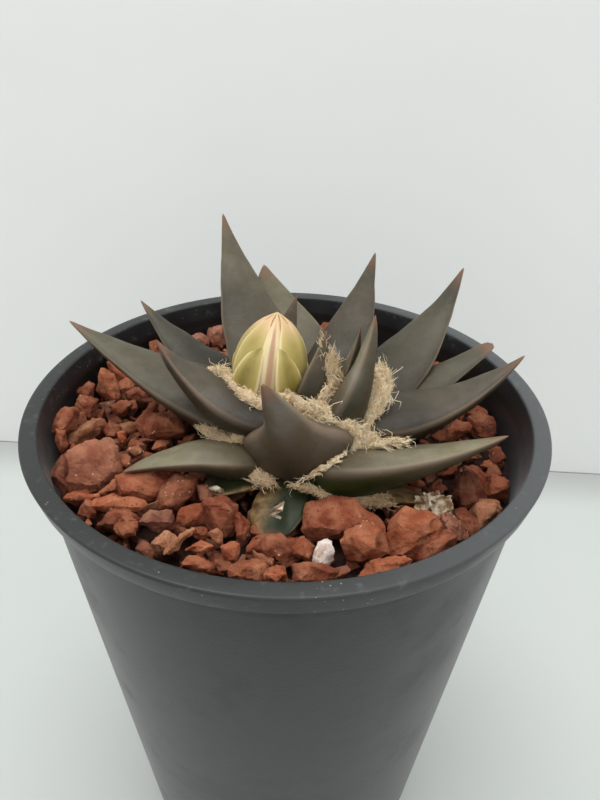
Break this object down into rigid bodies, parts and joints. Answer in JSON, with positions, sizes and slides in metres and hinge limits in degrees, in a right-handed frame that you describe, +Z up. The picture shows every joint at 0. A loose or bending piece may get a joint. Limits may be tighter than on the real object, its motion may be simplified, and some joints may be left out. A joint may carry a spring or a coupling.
{
  "type": "potted ariocarpus",
  "caption": "Star-shaped ariocarpus with pointed tubercles, woolly crown and a closed flower bud, in a deep black nursery pot topped with brick chips.",
  "frame": {"origin": "centre of the pot's underside, on the surface that it stands on", "axes": "+Z up along the pot's axis, -Y towards the side with the horn-like front tubercle, +X to the right as seen from that side"},
  "size_m": [0.105, 0.105, 0.1635],
  "materials": {
    "black_plastic": "matt black moulded polypropylene, dusty and scuffed",
    "growing_mix": "dark mineral growing mix",
    "crushed_brick": "matt angular brick chips in red, orange, tan and mauve",
    "pale_stone": "rough pale chip",
    "tubercle_skin": "waxy grey-green skin with brownish tips",
    "bud_tepals": "soft yellow-green tepals with cream edges",
    "areole_wool": "cream matted wool",
    "dry_husk": "dry papery husk"
  },
  "bodies": {
    "root": {"pot": "black_plastic", "potting_mix": "growing_mix", "brick_gravel": "crushed_brick", "pale_chip": "pale_stone", "plant_body": "tubercle_skin", "flower_bud": "bud_tepals", "wool_collar": "areole_wool", "wool_crown": "areole_wool", "wool_right": "areole_wool", "wool_right_front": "areole_wool", "wool_left_front": "areole_wool", "wool_foot": "areole_wool", "dry_husk": "dry_husk"}
  },
  "joints": []
}
